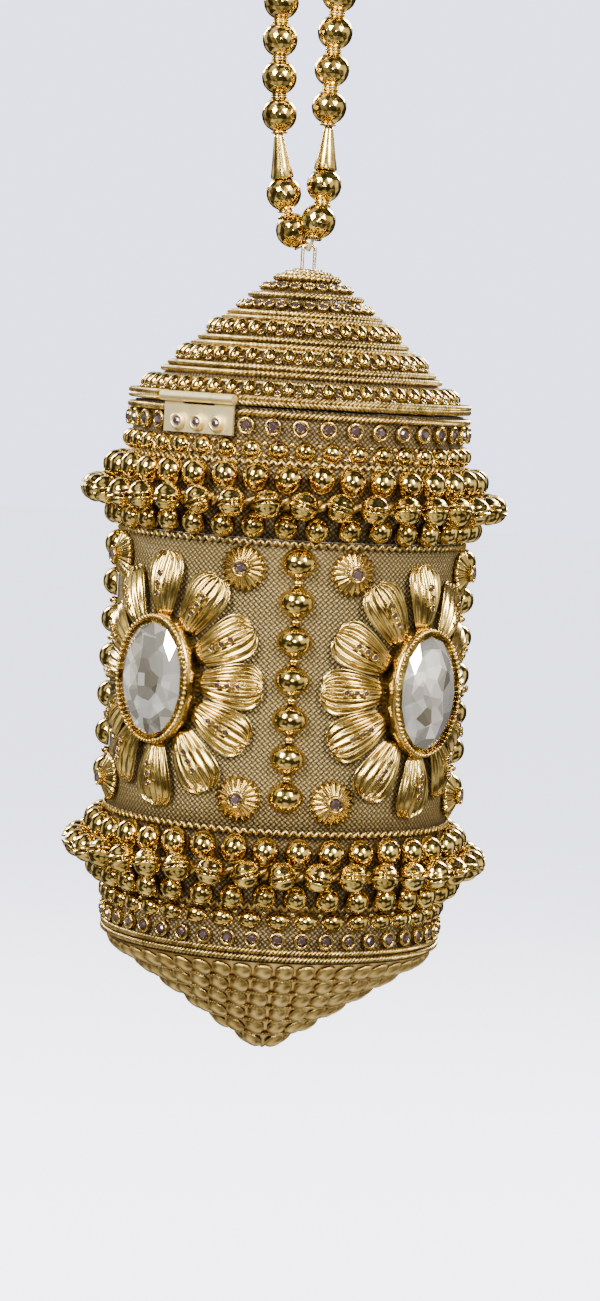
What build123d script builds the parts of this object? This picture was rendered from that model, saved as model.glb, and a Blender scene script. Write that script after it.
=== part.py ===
from build123d import *
from math import acos, asin, atan2, ceil, cos, degrees, hypot, pi, radians, sin, sqrt, tan
import os

# A lantern-shaped evening purse: a hinged conical lid, a round body with beaded trims, a pointed
# base and a beaded handle that hangs from one eye of wire at the lid's tip.
# Millimetres. +Z is up, the origin is the inner top of the handle's loop, and the purse's own
# axis is the Z axis. An azimuth of 0 is the front (-Y), and it grows anticlockwise from above.
# Levels are measured from the seam between lid and body: up is positive, down is negative.

# ---- driving dimensions ----
seam_height = -131.0
seam_gap = 0.5
fit_gap = 0.05
trim_gap = 0.1

tube_radius = 36.5
tube_wall = 2.0
tube_length = 119.75
cloth = 0.45
foam = 1.3

lid_slope = 43.2
lid_straight_top = 25.0
lid_wall = 1.6
lid_lining_wall = 0.8

cone_drop = 25.4
cone_wall = 1.6

ring_depth = 3.0
ring_mouth_radius = 28.8
lining_wall = 0.8
floor_thickness = 2.0
pad_thickness = 3.1

hinge_azimuth = -38.0
hinge_length = 19.5
knuckle_radius = 1.1
pin_radius = 0.5
leaf = 0.6

magnet_radius = 1.5
magnet_height = 1.5

bead_diameter = 8.0
string_diameter = 0.8
wire_diameter = 0.8

trim_bead = 6.3
drop_bead = 5.4
trim_count = 36

flower_azimuths = [45, 135, 225, 315]
column_azimuths = [0, 90, 180, 270]
crystal_width = 18.0
crystal_length = 25.0

os.makedirs("parts", exist_ok=True)


# ---- helpers for the shared geometry ----
def level(above_seam):
    """Height in the part's frame of a level given from the seam."""
    return seam_height + above_seam


def outward(azimuth):
    """Unit vector that points away from the purse's axis at an azimuth."""
    return Vector(sin(radians(azimuth)), -cos(radians(azimuth)), 0)


def sideways(azimuth):
    """Unit vector along the ring at an azimuth."""
    return Vector(cos(radians(azimuth)), sin(radians(azimuth)), 0)


def skin_plane(radius, azimuth, above_seam, lean=0.0):
    """Plane on the purse's skin: x runs round it, y up it and z out of it."""
    out = outward(azimuth) * cos(radians(lean)) + Vector(0, 0, sin(radians(lean)))
    origin = outward(azimuth) * radius + Vector(0, 0, level(above_seam))
    return Plane(origin=origin, x_dir=sideways(azimuth), z_dir=out)


def ring_planes(radius, above_seam, count, lean=0.0, start=0.0):
    """Evenly spaced planes on one ring of the skin."""
    return [skin_plane(radius, start + 360 * i / count, above_seam, lean) for i in range(count)]


def button(width, length, rise):
    """Flat-backed bead on its own XY plane, width along x and length along y."""
    with BuildPart() as bead:
        with BuildSketch(Plane.XY):
            RectangleRounded(width, length, min(width, length) * 0.3)
        extrude(amount=rise)
        chamfer(bead.edges().group_by(Axis.Z)[-1], rise * 0.3)
    return bead.part


def slope_rows(point_at, slants, length, rise):
    """Strips of beading that lie round a slope, one closed ring for each slant."""
    with BuildPart() as strips:
        for slant in slants:
            with BuildSketch(Plane.XZ):
                with BuildLine():
                    corners = [
                        point_at(slant - length / 2, trim_gap),
                        point_at(slant + length / 2, trim_gap),
                        point_at(slant + length * 0.3, trim_gap + rise),
                        point_at(slant - length * 0.3, trim_gap + rise),
                    ]
                    Polyline(*[(r, level(z)) for r, z in corners], close=True)
                make_face()
            revolve(axis=Axis.Z)
    return strips.part


def stone_cup(cup_diameter, cup_height, stone_diameter, stone_depth):
    """Round metal cup with a pocket for one flat-backed stone."""
    with BuildPart() as cup:
        Cylinder(cup_diameter / 2, cup_height, align=(Align.CENTER, Align.CENTER, Align.MIN))
        with Locations((0, 0, cup_height)):
            Hole(stone_diameter / 2 + fit_gap, stone_depth)
    return cup.part


def scatter(shape, planes):
    """Copies of one loose piece, one on each plane, as separate solids."""
    with BuildPart() as group:
        with Locations(*planes):
            add(shape)
    return group.part


def band(inner, outer, top, bottom):
    """Plain sleeve round the purse's axis, between two levels."""
    with BuildPart() as sleeve:
        with BuildSketch(Plane.XY.offset(level(bottom))):
            Circle(outer)
            Circle(inner, mode=Mode.SUBTRACT)
        extrude(amount=top - bottom)
    return sleeve.part


def torus_rows(rows, rope_radius):
    """Closed rings of round cord, one for each (radius, level) pair."""
    with BuildPart() as rings:
        for radius, above_seam in rows:
            with Locations((0, 0, level(above_seam))):
                Torus(radius, rope_radius)
    return rings.part


def open_rope(radius, above_seam, rope_radius):
    """Ring of round cord that stops on each side of the hinge."""
    start = hinge_azimuth + hinge_gap_angle
    plane = Plane(origin=(0, 0, level(above_seam)), x_dir=outward(start), z_dir=-sideways(start))
    with BuildPart() as rope:
        with BuildSketch(plane):
            with Locations((radius, 0)):
                Circle(rope_radius)
        revolve(axis=Axis.Z, revolution_arc=360 - 2 * hinge_gap_angle)
    return rope.part


def save(part, name):
    """Label one finished sub-part and write it as its own STEP file."""
    part.label = name
    export_step(part, f"parts/{name}.step")


# ---- places that several pieces share ----
tube_inner = tube_radius - tube_wall
cloth_inner = tube_radius + fit_gap
cloth_outer = cloth_inner + cloth
foam_outer = cloth_inner + foam
panel_inner = foam_outer + fit_gap
panel_outer = panel_inner + cloth
skin = cloth_outer + fit_gap
panel_skin = panel_outer + fit_gap
tube_top = -seam_gap / 2
tube_bottom = tube_top - tube_length
lid_foot = seam_gap / 2

leaf_inner = skin
barrel_place = leaf_inner + knuckle_radius
lid_leaf_bottom = lid_foot - 0.15
barrel_level = lid_leaf_bottom + knuckle_radius
hinge_gap_angle = degrees(asin((hinge_length / 2 + 0.5) / (skin + 0.75)))
hinge_leaf_width = hinge_length - 1.0

# ---- lid shell: a cone with a rounded top ----
lid_foot_radius = tube_radius + 0.4
slope_sin = sin(radians(lid_slope))
slope_cos = cos(radians(lid_slope))
lid_straight_rise = lid_straight_top - lid_foot
lid_top_radius = lid_foot_radius - lid_straight_rise * slope_cos / slope_sin
cap_radius = lid_top_radius / slope_sin
cap_centre = lid_straight_top - cap_radius * slope_cos
eye_hole_radius = 1.9


def lid_point(slant, proud):
    """Radius and level of a point up the lid's slant, and proud of its surface."""
    radius = lid_foot_radius - slant * slope_cos + proud * slope_sin
    return radius, lid_foot + slant * slope_sin + proud * slope_cos


def cap_point(radius, proud):
    """Radius and level of a point on the lid's rounded top, and proud of it."""
    up = sqrt(cap_radius ** 2 - radius ** 2)
    stretch = (cap_radius + proud) / cap_radius
    return radius * stretch, cap_centre + up * stretch


def lid_rebate():
    """Recess under the lid's foot for the hinge leaf, with clearance all round."""
    plane = Plane(origin=(0, 0, level(0)), x_dir=outward(hinge_azimuth), z_dir=(0, 0, 1))
    with BuildPart() as recess:
        with BuildSketch(plane):
            with Locations((lid_leaf_inner - trim_gap, 0)):
                Rectangle(lid_foot_radius, hinge_leaf_width + 2 * trim_gap,
                          align=(Align.MIN, Align.CENTER))
        extrude(amount=lid_leaf_bottom + leaf + fit_gap)
    return recess.part


lid_leaf_inner = ring_mouth_radius + 1.4
leaf_rebate = lid_rebate()

with BuildPart() as lid_shell:
    with BuildSketch(Plane.XZ):
        with BuildLine():
            outer_foot = (lid_foot_radius, level(lid_foot))
            inner_foot = (lid_foot_radius - lid_wall / slope_sin, level(lid_foot))
            inner_cap = cap_radius - lid_wall
            outside = Line(outer_foot, (lid_top_radius, level(lid_straight_top)))
            hole_turn = degrees(acos(eye_hole_radius / cap_radius))
            cap_turn = 90 - lid_slope
            cap = CenterArc((0, level(cap_centre)), cap_radius, cap_turn, hole_turn - cap_turn)
            inner_hole_turn = degrees(acos(eye_hole_radius / inner_cap))
            under_cap = CenterArc((0, level(cap_centre)), inner_cap, cap_turn,
                                  inner_hole_turn - cap_turn)
            Line(cap @ 1, under_cap @ 1)
            Line(under_cap @ 0, inner_foot)
            Line(inner_foot, outer_foot)
        make_face()
    revolve(axis=Axis.Z)
    add(leaf_rebate, mode=Mode.SUBTRACT)
save(lid_shell.part, "lid_shell")

# ---- lid base ring with its magnets ----
ring_outer = tube_inner - trim_gap
magnet_place = ring_mouth_radius + magnet_radius + 0.4
magnet_azimuths = [hinge_azimuth + 180 + step for step in (-12, 0, 12)]
rivet_radius = 0.8
rivet_place = lid_leaf_inner + 1.1
rivet_spread = 5.0
rivet_top = lid_leaf_bottom + leaf + 1.0


def magnet_planes(above_seam):
    """Planes at one level, one at the centre of each magnet."""
    return [
        Plane(origin=outward(a) * magnet_place + Vector(0, 0, level(above_seam)))
        for a in magnet_azimuths
    ]


def rivet_planes(above_seam):
    """Planes at one level, one at the centre of each rivet of the hinge."""
    middle = outward(hinge_azimuth) * rivet_place + Vector(0, 0, level(above_seam))
    along = sideways(hinge_azimuth) * rivet_spread
    return [Plane(origin=middle - along), Plane(origin=middle + along)]


with BuildPart() as magnet_shape:
    Cylinder(magnet_radius, magnet_height, align=(Align.CENTER, Align.CENTER, Align.MIN))
with BuildPart() as magnet_pocket:
    Cylinder(magnet_radius + fit_gap, magnet_height + fit_gap,
             align=(Align.CENTER, Align.CENTER, Align.MIN))
with BuildPart() as rivet_shape:
    Cylinder(rivet_radius, rivet_top - lid_leaf_bottom,
             align=(Align.CENTER, Align.CENTER, Align.MIN))
with BuildPart() as rivet_pocket:
    Cylinder(rivet_radius + fit_gap, rivet_top - lid_leaf_bottom + fit_gap,
             align=(Align.CENTER, Align.CENTER, Align.MIN))

lid_ring_depth = 2.5
lid_ring_outer = lid_foot_radius - lid_wall / slope_sin - trim_gap
with BuildPart() as lid_base_ring:
    with BuildSketch(Plane.XZ):
        with BuildLine():
            Polyline(
                (ring_mouth_radius, level(lid_foot)),
                (lid_ring_outer, level(lid_foot)),
                (lid_ring_outer - lid_ring_depth * slope_cos / slope_sin,
                 level(lid_foot + lid_ring_depth)),
                (ring_mouth_radius, level(lid_foot + lid_ring_depth)),
                close=True,
            )
        make_face()
    revolve(axis=Axis.Z)
    add(leaf_rebate, mode=Mode.SUBTRACT)
    with Locations(*magnet_planes(lid_foot)):
        add(magnet_pocket.part, mode=Mode.SUBTRACT)
    with Locations(*rivet_planes(lid_leaf_bottom)):
        add(rivet_pocket.part, mode=Mode.SUBTRACT)
save(lid_base_ring.part, "lid_base_ring")
save(scatter(magnet_shape.part, magnet_planes(lid_foot)), "lid_magnets")
save(scatter(rivet_shape.part, rivet_planes(lid_leaf_bottom)), "hinge_lid_rivets")

# ---- lid lining: a sewn cone of cloth closed by a flat top under the eye ----
lining_foot = lid_foot + lid_ring_depth + trim_gap
lining_offset = lid_wall + trim_gap
lining_top = lid_straight_top - 1.0


def lining_radius(above_seam, offset):
    """Radius of a cone that lies inside the lid's surface by an offset."""
    rise = above_seam - lid_foot
    return lid_foot_radius - offset / slope_sin - rise * slope_cos / slope_sin


with BuildPart() as lid_lining:
    with BuildSketch(Plane.XZ):
        with BuildLine():
            inner = lining_offset + lid_lining_wall
            Polyline(
                (lining_radius(lining_foot, lining_offset), level(lining_foot)),
                (lining_radius(lining_top, lining_offset), level(lining_top)),
                (0, level(lining_top)),
                (0, level(lining_top - lid_lining_wall)),
                (lining_radius(lining_top - lid_lining_wall, inner),
                 level(lining_top - lid_lining_wall)),
                (lining_radius(lining_foot, inner), level(lining_foot)),
                close=True,
            )
        make_face()
    revolve(axis=Axis.Z)
save(lid_lining.part, "lid_lining")

# ---- eye of wire at the lid's tip, with the washer that holds it ----
apex = 31.0
eye_rise = 5.0
eye_half_width = 1.35
washer_radius = 4.6
washer_thickness = 0.6
under_cap_level = cap_centre + sqrt((cap_radius - lid_wall) ** 2 - washer_radius ** 2)
washer_top = under_cap_level - trim_gap
foot_level = washer_top - washer_thickness - trim_gap - wire_diameter / 2
eye_level = apex + eye_rise

with BuildPart() as lid_eye_washer:
    with BuildSketch(Plane.XY.offset(level(washer_top - washer_thickness))):
        Circle(washer_radius)
        Circle(eye_hole_radius, mode=Mode.SUBTRACT)
    extrude(amount=washer_thickness)
save(lid_eye_washer.part, "lid_eye_washer")

with BuildPart() as lid_eye_wire:
    with BuildLine() as eye_route:
        FilletPolyline(
            (-washer_radius + 0.4, 0, level(foot_level)),
            (-eye_half_width, 0, level(foot_level)),
            (-eye_half_width, 0, level(eye_level)),
            (eye_half_width, 0, level(eye_level)),
            (eye_half_width, 0, level(foot_level)),
            (washer_radius - 0.4, 0, level(foot_level)),
            radius=[0.6, 0.9, 0.9, 0.6],
        )
    with BuildSketch(Plane(origin=eye_route.wire() @ 0, z_dir=eye_route.wire() % 0)):
        Circle(wire_diameter / 2)
    sweep()
save(lid_eye_wire.part, "lid_eye_wire")

# ---- cords and beads sewn on the lid ----
rim_rope_radius = 1.1
thin_rope_radius = 0.75
lid_rope_slants = [9.0, 11.0, 17.8, 19.8, 26.7, 28.4, 34.4]
lid_bead_slants = [4.7, 14.9, 23.8]
lid_bead_length = 4.0
lid_bead_rise = 2.1
top_stone = 1.9
cap_rope_radius = 0.9
cap_rope_pitch = 1.95

save(open_rope(skin + 0.75, lid_foot + rim_rope_radius, rim_rope_radius), "lid_rim_rope")
rope_rows = [lid_point(slant, thin_rope_radius + trim_gap) for slant in lid_rope_slants]
save(torus_rows(rope_rows, thin_rope_radius), "lid_ropes")

save(slope_rows(lid_point, lid_bead_slants, lid_bead_length, lid_bead_rise), "lid_bead_strips")
save(slope_rows(lid_point, [31.4], top_stone + 0.6, 1.4), "lid_cup_chain")
crown_place = [cap_point(8.2, trim_gap), cap_point(10.0, trim_gap),
               cap_point(9.7, trim_gap + 1.2), cap_point(8.5, trim_gap + 1.2)]
with BuildPart() as crown_cup_chain:
    with BuildSketch(Plane.XZ):
        with BuildLine():
            Polyline(*[(r, level(z)) for r, z in crown_place], close=True)
        make_face()
    revolve(axis=Axis.Z)
save(crown_cup_chain.part, "crown_cup_chain")

coil_rows = [
    cap_point(eye_hole_radius + 0.75 + i * cap_rope_pitch, cap_rope_radius + fit_gap)
    for i in range(3)
]
save(torus_rows(coil_rows, cap_rope_radius), "lid_cap_coil")

# ---- hinge ----
knuckle_gap = 0.1
outer_knuckle = 5.5
middle_knuckle = hinge_length - 2 * outer_knuckle - 2 * knuckle_gap
pin_clearance = 0.03
barrel_axis = Plane(
    origin=outward(hinge_azimuth) * barrel_place + Vector(0, 0, level(barrel_level)),
    x_dir=outward(hinge_azimuth),
    z_dir=sideways(hinge_azimuth),
)
body_leaf_bottom = -6.5
body_leaf_face = skin_plane(leaf_inner, hinge_azimuth, 0)
stud_level = -4.15
stud_spread = 5.2
stud_cup = 3.4
stud_cup_height = 0.8
stud_stone = 2.4
stud_shank = 0.8
studs = [-stud_spread, 0, stud_spread]

with BuildPart() as hinge_body_leaf:
    with BuildSketch(body_leaf_face):
        with Locations((0, (barrel_level + body_leaf_bottom) / 2)):
            Rectangle(hinge_leaf_width, barrel_level - body_leaf_bottom)
        with Locations((0, barrel_level)):
            Rectangle(middle_knuckle + 2 * knuckle_gap, 2 * (barrel_level + 0.4),
                      mode=Mode.SUBTRACT)
    extrude(amount=leaf)
    for start in (-hinge_length / 2, hinge_length / 2 - outer_knuckle):
        with BuildSketch(barrel_axis.offset(start)):
            Circle(knuckle_radius)
        extrude(amount=outer_knuckle)
    with BuildSketch(barrel_axis.offset(-hinge_length / 2)):
        Circle(pin_radius + pin_clearance)
    extrude(amount=hinge_length, mode=Mode.SUBTRACT)
    with BuildSketch(body_leaf_face):
        with Locations(*[(across, stud_level) for across in studs]):
            Circle(stud_shank + fit_gap)
    extrude(amount=leaf, mode=Mode.SUBTRACT)
save(hinge_body_leaf.part, "hinge_body_leaf")

lid_leaf_face = Plane(
    origin=(0, 0, level(lid_leaf_bottom)), x_dir=outward(hinge_azimuth), z_dir=(0, 0, 1)
)
lid_leaf_outer = leaf_inner - 0.45
with BuildPart() as hinge_lid_leaf:
    with BuildSketch(lid_leaf_face):
        with Locations(((lid_leaf_inner + lid_leaf_outer) / 2, 0)):
            Rectangle(lid_leaf_outer - lid_leaf_inner, hinge_leaf_width)
        with Locations(((lid_leaf_outer + barrel_place) / 2, 0)):
            Rectangle(barrel_place - lid_leaf_outer, middle_knuckle)
    extrude(amount=leaf)
    with BuildSketch(barrel_axis.offset(-middle_knuckle / 2)):
        Circle(knuckle_radius)
    extrude(amount=middle_knuckle)
    with BuildSketch(barrel_axis.offset(-middle_knuckle / 2)):
        Circle(pin_radius + pin_clearance)
    extrude(amount=middle_knuckle, mode=Mode.SUBTRACT)
    with Locations(*rivet_planes(lid_leaf_bottom)):
        add(rivet_pocket.part, mode=Mode.SUBTRACT)
save(hinge_lid_leaf.part, "hinge_lid_leaf")

with BuildPart() as hinge_pin:
    with BuildSketch(barrel_axis.offset(-hinge_length / 2)):
        Circle(pin_radius)
    extrude(amount=hinge_length)
save(hinge_pin.part, "hinge_pin")

stud_base = leaf_inner + leaf + fit_gap
stud_reach = stud_base - tube_inner - 0.3
hinge_face = skin_plane(stud_base, hinge_azimuth, stud_level)
stud_planes = [
    Plane(origin=hinge_face.origin + hinge_face.x_dir * across,
          x_dir=hinge_face.x_dir, z_dir=hinge_face.z_dir)
    for across in studs
]
stud_body = stone_cup(stud_cup, stud_cup_height, stud_stone, 0.5)
with BuildPart() as stud_shape:
    add(stud_body)
    with BuildSketch(Plane.XY):
        Circle(stud_shank)
    extrude(amount=-stud_reach)
with BuildPart() as stud_bore:
    with BuildSketch(Plane.XY):
        Circle(stud_shank + fit_gap)
    extrude(amount=-stud_reach - 1)
save(scatter(stud_shape.part, stud_planes), "hinge_stud_cups")
with BuildPart() as stud_gem:
    Cylinder(stud_stone / 2, 0.8, align=(Align.CENTER, Align.CENTER, Align.MIN))
gem_lift = stud_cup_height - 0.5 + fit_gap
save(scatter(stud_gem.part, [p.offset(gem_lift) for p in stud_planes]), "hinge_stud_stones")

# ---- body: card tube, rim ring, floor, lining and pad ----
plain_tube = band(tube_inner, tube_radius, tube_top, tube_bottom)
with BuildPart() as body_tube:
    add(plain_tube)
    with Locations(*stud_planes):
        add(stud_bore.part, mode=Mode.SUBTRACT)
save(body_tube.part, "body_tube")

plain_ring = band(ring_mouth_radius, ring_outer, tube_top, tube_top - ring_depth)
with BuildPart() as body_rim_ring:
    add(plain_ring)
    with Locations(*magnet_planes(tube_top - magnet_height - fit_gap)):
        add(magnet_pocket.part, mode=Mode.SUBTRACT)
save(body_rim_ring.part, "body_rim_ring")
save(scatter(magnet_shape.part, magnet_planes(tube_top - magnet_height)), "body_magnets")

floor_top = tube_bottom + floor_thickness
with BuildPart() as body_floor:
    with BuildSketch(Plane.XY.offset(level(tube_bottom))):
        Circle(ring_outer)
    extrude(amount=floor_thickness)
save(body_floor.part, "body_floor")

lining_outer = ring_outer
lining_inner = lining_outer - lining_wall
lining_base = floor_top + trim_gap
lining_brim = tube_top - ring_depth - trim_gap
with BuildPart() as body_lining:
    with BuildSketch(Plane.XZ):
        with BuildLine():
            Polyline(
                (0, level(lining_base)),
                (lining_outer, level(lining_base)),
                (lining_outer, level(lining_brim)),
                (lining_inner, level(lining_brim)),
                (lining_inner, level(lining_base + lining_wall)),
                (0, level(lining_base + lining_wall)),
                close=True,
            )
        make_face()
    revolve(axis=Axis.Z)
save(body_lining.part, "body_lining")

with BuildPart() as base_pad:
    with BuildSketch(Plane.XY.offset(level(lining_base + lining_wall + trim_gap))):
        Circle(lining_inner - trim_gap)
    extrude(amount=pad_thickness)
    fillet(base_pad.edges().sort_by(Axis.Z)[-1], pad_thickness / 3)
save(base_pad.part, "base_pad")

# ---- cloth and padding on the tube ----
panel_top = -28.2
panel_bottom = -92.0
plain_collar = band(cloth_inner, cloth_outer, tube_top, panel_top + trim_gap)
with BuildPart() as collar_cloth:
    add(plain_collar)
    with Locations(*stud_planes):
        add(stud_bore.part, mode=Mode.SUBTRACT)
save(collar_cloth.part, "collar_cloth")
save(band(cloth_inner, foam_outer, panel_top, panel_bottom), "panel_padding")
save(band(panel_inner, panel_outer, panel_top, panel_bottom), "panel_cloth")
save(band(cloth_inner, cloth_outer, panel_bottom - trim_gap, tube_bottom), "lower_cloth")

# ---- collar: edge cord, ringed stones, small beads ----
edge_level = -1.35
collar_stone_level = -4.15
collar_cup = 3.8
collar_cup_height = 1.7
collar_bead_level = -9.07
collar_bead = 4.4
collar_bead_rise = 1.85
braid_height = 1.0
braid_thickness = 0.7
braids = [(skin, -11.85), (panel_skin, -28.9), (panel_skin, -91.3), (skin, -107.8)]

save(open_rope(skin + thin_rope_radius, edge_level, thin_rope_radius), "body_edge_cord")

chain_start = hinge_azimuth + hinge_gap_angle + 1.5
chain_plane = Plane(origin=(0, 0, level(collar_stone_level)), x_dir=outward(chain_start),
                    z_dir=-sideways(chain_start))
with BuildPart() as collar_cup_chain:
    with BuildSketch(chain_plane):
        with Locations((skin + collar_cup_height / 2, 0)):
            Rectangle(collar_cup_height, collar_cup)
    revolve(axis=Axis.Z, revolution_arc=360 - 2 * (hinge_gap_angle + 1.5))
save(collar_cup_chain.part, "collar_cup_chain")
bead_top = collar_bead_level + collar_bead / 2
save(band(skin, skin + collar_bead_rise, bead_top, bead_top - collar_bead), "collar_bead_strip")

with BuildPart() as zigzag_braids:
    for braid_inner, braid_level in braids:
        with BuildSketch(Plane.XY.offset(level(braid_level - braid_height / 2))):
            Circle(braid_inner + braid_thickness)
            Circle(braid_inner, mode=Mode.SUBTRACT)
        extrude(amount=braid_height)
save(zigzag_braids.part, "zigzag_braids")

# ---- beaded trims: a row of beads, a proud row of bells on a cord, a row of drops ----
bell_radius = 44.8
trim_bead_radius = skin + trim_bead / 2
drop_radius = skin + drop_bead / 2
trim_cord_thickness = 2.0
trim_cord_radius = skin + trim_cord_thickness


def bead_ring(diameter, radius, above_seam, start):
    """One ring of round beads, each its own solid."""
    with BuildPart() as ring:
        with Locations(*ring_planes(radius, above_seam, trim_count, start=start)):
            Sphere(diameter / 2)
    return ring.part


trims = {
    "upper": {"beads": -15.0, "bells": -20.4, "drops": -25.4, "cord": -20.4},
    "lower": {"beads": -95.2, "bells": -99.8, "drops": -105.2, "cord": -100.4},
}
for place, rows in trims.items():
    save(torus_rows([(trim_bead_radius, rows["beads"])], trim_bead / 2), f"{place}_trim_beads")
    save(bead_ring(trim_bead, bell_radius, rows["bells"], 0), f"{place}_trim_bells")
    save(torus_rows([(drop_radius, rows["drops"])], drop_bead / 2), f"{place}_trim_drops")
    save(torus_rows([(trim_cord_radius, rows["cord"])], trim_cord_thickness),
         f"{place}_trim_cord")

# ---- bead columns on the panel ----
column_width = 7.6
column_height = 6.5
column_rise = 3.1
column_pitch = 8.46
column_top = -32.9
column_beads = 7
spacer_width = 3.0
spacer_rise = 1.2
column_levels = [column_top - i * column_pitch for i in range(column_beads)]
spacer_length = column_pitch - column_height - 2 * trim_gap
column_bead = button(column_width, column_height, column_rise)
spacer = button(spacer_width, spacer_length, spacer_rise)
column_planes = [skin_plane(panel_skin, a, z) for a in column_azimuths for z in column_levels]
spacer_planes = [
    skin_plane(panel_skin, a, z - column_pitch / 2)
    for a in column_azimuths
    for z in column_levels[:-1]
]
save(scatter(column_bead, column_planes), "column_beads")
save(scatter(spacer, spacer_planes), "column_spacers")

# ---- flowers: an oval crystal in a cup, with twelve petals round it ----
flower_level = -60.1
bezel_rim = 1.75
bezel_height = 4.3
bezel_floor = 0.8
petal_count = 12
petal_length = 13.2
petal_width = 9.7
petal_neck = 4.6
petal_thickness = 1.4
half_width = crystal_width / 2 + bezel_rim
half_length = crystal_length / 2 + bezel_rim

with BuildPart() as bezel_shape:
    with BuildSketch(Plane.XY):
        Ellipse(half_width, half_length)
    extrude(amount=bezel_height)
    with BuildSketch(Plane.XY.offset(bezel_floor)):
        Ellipse(crystal_width / 2 + fit_gap, crystal_length / 2 + fit_gap)
    extrude(amount=bezel_height, mode=Mode.SUBTRACT)

crystal_base = bezel_floor + fit_gap
girdle_low = bezel_height - 0.5
girdle_high = bezel_height - 0.1
crown_height = 2.7
with BuildPart() as crystal_shape:
    with BuildSketch(Plane.XY.offset(crystal_base)):
        Ellipse(crystal_width * 0.36, crystal_length * 0.36)
    extrude(amount=girdle_low - crystal_base)
    with BuildSketch(Plane.XY.offset(girdle_low)):
        Ellipse(crystal_width / 2, crystal_length / 2)
    extrude(amount=girdle_high - girdle_low)
    with BuildSketch(Plane.XY.offset(girdle_high)):
        Ellipse(crystal_width * 0.4, crystal_length * 0.4)
    extrude(amount=crown_height)

with BuildPart() as petal_shape:
    with BuildSketch(Plane.XY):
        with Locations((0, petal_length - petal_width / 2)):
            Circle(petal_width / 2)
        with Locations((0, petal_neck / 2)):
            Circle(petal_neck / 2)
        make_hull()
    extrude(amount=petal_thickness)

def petal_planes(azimuth):
    """Planes at the inner ends of one flower's petals, with y out along each petal."""
    planes = []
    for i in range(petal_count):
        turn = radians(360 * i / petal_count)
        reach = 1 / hypot(cos(turn) / (half_width + 0.2), sin(turn) / (half_length + 0.2))
        middle = reach + petal_length / 2
        around = middle * cos(turn)
        face = skin_plane(
            panel_skin, azimuth + degrees(around / panel_skin), flower_level + middle * sin(turn)
        )
        along = face.x_dir * cos(turn) + face.y_dir * sin(turn)
        across = face.x_dir * sin(turn) - face.y_dir * cos(turn)
        start = face.origin - along * (petal_length / 2)
        planes.append(Plane(origin=start, x_dir=across, z_dir=face.z_dir))
    return planes


all_petals = [plane for a in flower_azimuths for plane in petal_planes(a)]
flower_planes = [skin_plane(panel_skin, a, flower_level) for a in flower_azimuths]
save(scatter(bezel_shape.part, flower_planes), "flower_bezels")
save(scatter(crystal_shape.part, flower_planes), "flower_crystals")
save(scatter(petal_shape.part, all_petals), "flower_petals")

# ---- rosettes beside the ends of each bead column ----
rosette_diameter = 9.8
rosette_thickness = 1.0
rosette_collet = 3.6
rosette_collet_height = 2.0
rosette_stone = 2.6
rosette_rows = [(17.5, -34.6), (15.0, -84.4)]
rosette_planes = [
    skin_plane(panel_skin, column + side * offset_angle, z)
    for column in column_azimuths
    for offset_angle, z in rosette_rows
    for side in (-1, 1)
]
collet = stone_cup(rosette_collet, rosette_collet_height, rosette_stone, 0.7)
with BuildPart() as rosette_shape:
    with BuildSketch(Plane.XY):
        Circle(rosette_diameter / 2)
    extrude(amount=rosette_thickness)
    add(collet)
with BuildPart() as rosette_gem:
    Cylinder(rosette_stone / 2, 0.9, align=(Align.CENTER, Align.CENTER, Align.MIN))
gem_lift = rosette_collet_height - 0.7 + fit_gap
save(scatter(rosette_shape.part, rosette_planes), "rosettes")
save(scatter(rosette_gem.part, [p.offset(gem_lift) for p in rosette_planes]), "rosette_stones")

# ---- lower band: small beads, ringed stones, two cords ----
lower_bead_height = 4.3
lower_bead_top = -108.45
lower_cup = 3.5
lower_stone_level = -114.8
lower_cord_radius = 0.65
lower_cord_levels = [-117.4, -118.9]
save(band(skin, skin + collar_bead_rise, lower_bead_top, lower_bead_top - lower_bead_height),
     "lower_bead_strip")
chain_top = lower_stone_level + lower_cup / 2
save(band(skin, skin + collar_cup_height, chain_top, chain_top - lower_cup), "lower_cup_chain")
cord_rows = [(skin + lower_cord_radius, z) for z in lower_cord_levels]
save(torus_rows(cord_rows, lower_cord_radius), "lower_cords")

# ---- pointed base: a card cone with rows of satin beads and thin cords ----
cone_foot_level = tube_bottom - fit_gap
cone_foot_radius = tube_radius + 0.5
cone_slope = atan2(cone_drop, cone_foot_radius)
cone_wall_across = cone_wall / sin(cone_slope)
cone_wall_down = cone_wall / cos(cone_slope)
cone_row_start = 3.8
cone_row_pitch = 7.2
cone_rows = 6
cone_bead_length = 6.0
cone_bead_rise = 1.5
cone_cord_radius = 0.35


def cone_point(slant, proud):
    """Radius and level of a point down the base's slant, and proud of its surface."""
    radius = cone_foot_radius - slant * cos(cone_slope) + proud * sin(cone_slope)
    return radius, cone_foot_level - slant * sin(cone_slope) - proud * cos(cone_slope)


with BuildPart() as bottom_cone:
    with BuildSketch(Plane.XZ):
        with BuildLine():
            Polyline(
                (cone_foot_radius, level(cone_foot_level)),
                (0, level(cone_foot_level - cone_drop)),
                (0, level(cone_foot_level - cone_drop + cone_wall_down)),
                (cone_foot_radius - cone_wall_across, level(cone_foot_level)),
                close=True,
            )
        make_face()
    revolve(axis=Axis.Z)
save(bottom_cone.part, "bottom_cone")

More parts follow.
